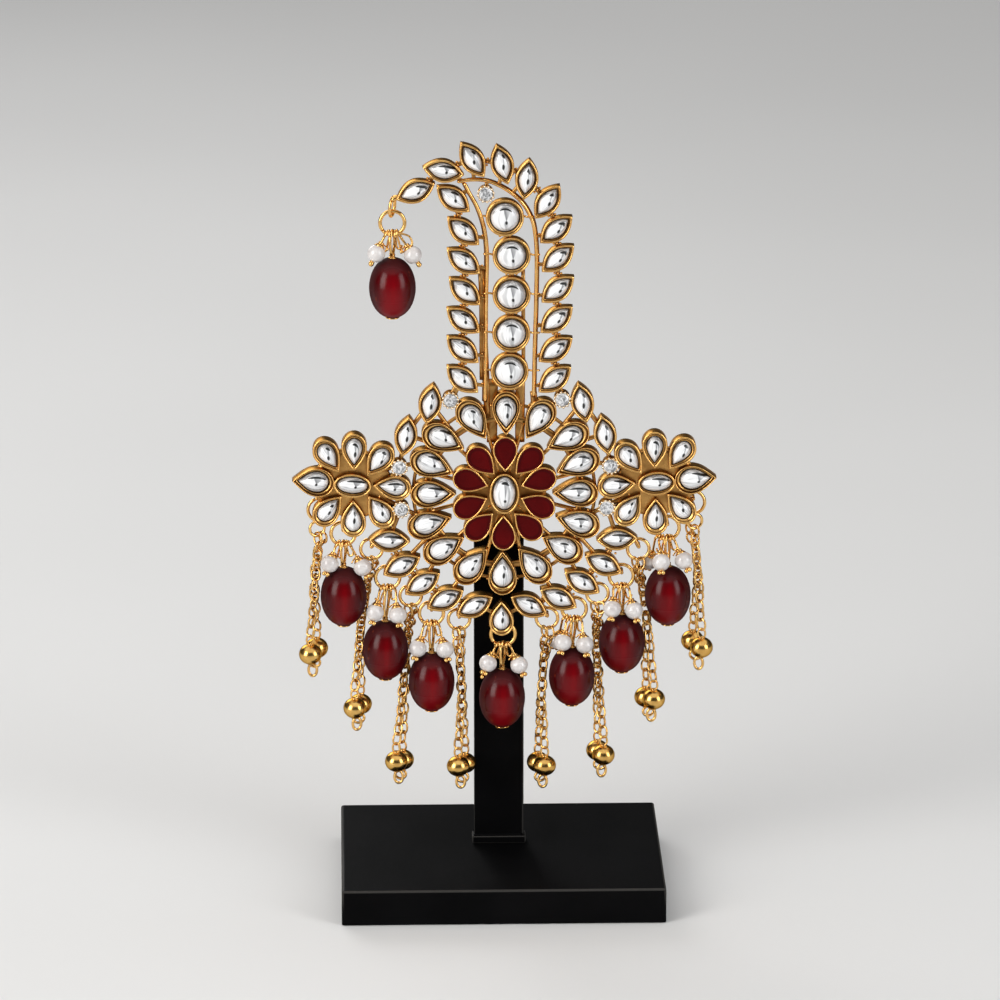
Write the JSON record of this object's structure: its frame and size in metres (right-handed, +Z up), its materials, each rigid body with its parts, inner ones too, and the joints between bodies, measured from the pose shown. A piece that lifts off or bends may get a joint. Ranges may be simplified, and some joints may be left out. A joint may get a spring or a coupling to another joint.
{
  "type": "turban brooch on display stand",
  "caption": "Tall asymmetric turban brooch with foiled stones, a round enamelled medallion, side flowers, red bead drops and chain tassels, held on a plain slab-based stand.",
  "frame": {"origin": "centre of the underside of the stand's base, on the surface it stands on", "axes": "+Z up, the brooch faces -Y, +X to the viewer's right"},
  "size_m": [0.0975, 0.0594, 0.18],
  "materials": {
    "stand_black": "satin black",
    "antique_gold": "antique gilt, bright on the rims and dark in the recesses",
    "bright_gold": "polished gilt wire and balls",
    "foiled_glass": "clear domed glass over silver foil",
    "red_glass": "dark red glass, polished",
    "pearl": "white pearl with a soft sheen"
  },
  "bodies": {
    "stand_and_brooch": {"stand_base": "stand_black", "stand_post": "stand_black", "brooch_frame": "antique_gold", "back_pin": "antique_gold", "centre_stone": "foiled_glass", "crest_stone_1": "foiled_glass", "crest_stone_2": "foiled_glass", "crest_stone_3": "foiled_glass", "crest_stone_4": "foiled_glass", "crest_stone_5": "foiled_glass", "drop_ring_2": "bright_gold", "drop_bead_2": "red_glass", "drop_pearl_2a": "pearl", "drop_pearl_2b": "pearl", "drop_ring_3": "bright_gold", "drop_bead_3": "red_glass", "drop_pearl_3a": "pearl", "drop_pearl_3b": "pearl", "drop_ring_4": "bright_gold", "drop_bead_4": "red_glass", "drop_pearl_4a": "pearl", "drop_pearl_4b": "pearl", "drop_ring_5": "bright_gold", "drop_bead_5": "red_glass", "drop_pearl_5a": "pearl", "drop_pearl_5b": "pearl", "drop_ring_6": "bright_gold", "drop_bead_6": "red_glass", "drop_pearl_6a": "pearl", "drop_pearl_6b": "pearl", "drop_pearl_6c": "pearl", "drop_ring_7": "bright_gold", "drop_bead_7": "red_glass", "drop_pearl_7a": "pearl", "drop_pearl_7b": "pearl", "drop_ring_8": "bright_gold", "drop_bead_8": "red_glass", "drop_pearl_8a": "pearl", "drop_pearl_8b": "pearl", "drop_pearl_8c": "pearl", "chain_ring_1": "bright_gold", "chain_1": "bright_gold", "chain_ring_2": "bright_gold", "chain_2": "bright_gold", "chain_ring_3": "bright_gold", "chain_3": "bright_gold", "chain_ring_4": "bright_gold", "chain_4": "bright_gold", "chain_ring_5": "bright_gold", "chain_5": "bright_gold", "chain_ring_6": "bright_gold", "chain_6": "bright_gold", "chain_ring_7": "bright_gold", "chain_7": "bright_gold", "chain_ring_8": "bright_gold", "chain_8": "bright_gold"},
    "tip_ring": {"drop_ring_1": "bright_gold"},
    "tip_drop": {"drop_bead_1": "red_glass", "drop_pearl_1a": "pearl", "drop_pearl_1b": "pearl"}
  },
  "joints": [
    {"name": "tip_swing", "type": "hinge", "parent": "stand_and_brooch", "child": "tip_ring", "pos_m": [-0.0248, -0.0036, 0.1621], "axis": [0, 1, 0], "range_deg": [-20, 60]},
    {"name": "tip_sway", "type": "hinge", "parent": "tip_ring", "child": "tip_drop", "pos_m": [-0.0248, -0.0036, 0.1577], "axis": [1, 0, 0], "range_deg": [-30, 30]}
  ]
}
